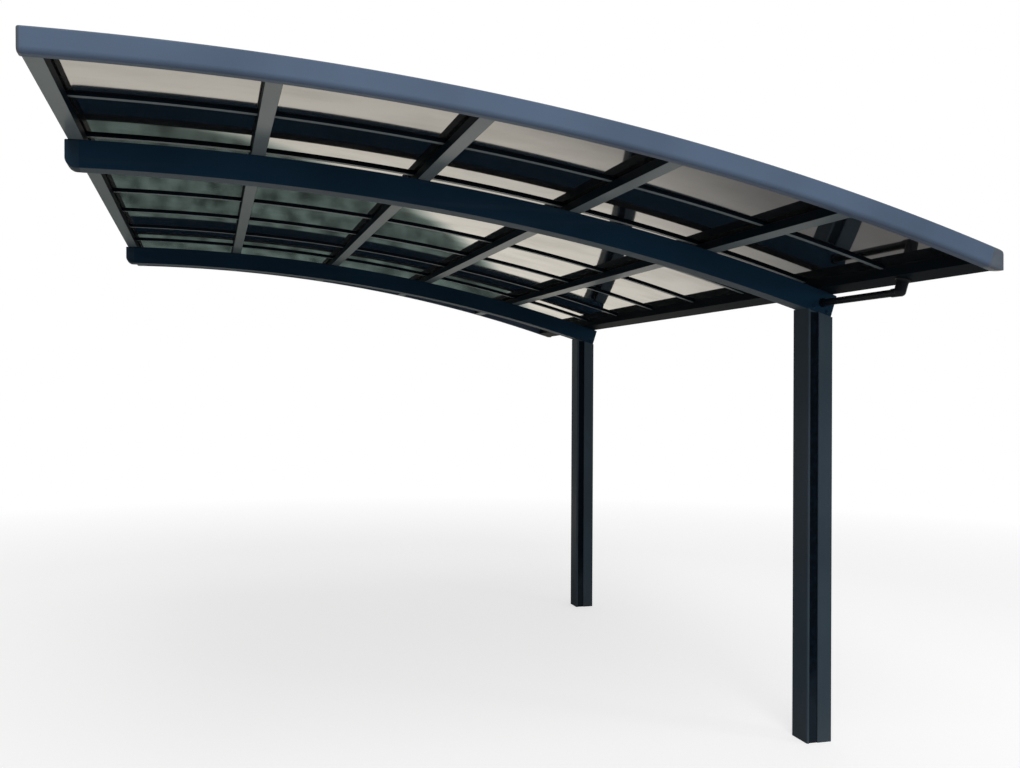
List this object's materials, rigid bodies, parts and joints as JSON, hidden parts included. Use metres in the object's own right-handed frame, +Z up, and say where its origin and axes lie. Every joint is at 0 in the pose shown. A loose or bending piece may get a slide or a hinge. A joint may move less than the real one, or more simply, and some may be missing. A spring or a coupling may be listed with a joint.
{
  "type": "carport",
  "caption": "One-sided carport: square posts along one side carry arched cantilever beams, purlins and a curved roof of tinted sheets, with a gutter and a drain pipe over the posts.",
  "frame": {"origin": "middle of the front post's foot, on the ground", "axes": "+Z up, +Y along the roof from the front post to the rear post, -X from the posts towards the free edge of the roof"},
  "size_m": [3.428, 5.4, 2.6949],
  "materials": {
    "coated_aluminium": "satin",
    "moulded_cap": "matte",
    "roof_sheet": "gloss",
    "drain_plastic": "satin"
  },
  "bodies": {
    "root": {"front_post": "coated_aluminium", "front_beam": "coated_aluminium", "front_fascia": "coated_aluminium", "rear_post": "coated_aluminium", "rear_beam": "coated_aluminium", "rear_fascia": "coated_aluminium", "edge_rail": "coated_aluminium", "gutter": "coated_aluminium", "purlin_1": "coated_aluminium", "purlin_2": "coated_aluminium", "purlin_3": "coated_aluminium", "purlin_4": "coated_aluminium", "batten_1": "coated_aluminium", "batten_2": "coated_aluminium", "batten_3": "coated_aluminium", "batten_4": "coated_aluminium", "batten_5": "coated_aluminium", "batten_6": "coated_aluminium", "batten_7": "coated_aluminium", "batten_8": "coated_aluminium", "front_beam_tip_cap": "moulded_cap", "front_beam_heel_cap": "moulded_cap", "front_fascia_edge_cap": "moulded_cap", "front_fascia_gutter_cap": "moulded_cap", "rear_beam_tip_cap": "moulded_cap", "rear_beam_heel_cap": "moulded_cap", "rear_fascia_edge_cap": "moulded_cap", "rear_fascia_gutter_cap": "moulded_cap", "panel_1": "roof_sheet", "panel_2": "roof_sheet", "panel_3": "roof_sheet", "panel_4": "roof_sheet", "panel_5": "roof_sheet", "panel_6": "roof_sheet", "panel_7": "roof_sheet", "panel_8": "roof_sheet", "panel_9": "roof_sheet", "drain_outlet": "drain_plastic", "drain_pipe": "drain_plastic"}
  },
  "joints": []
}
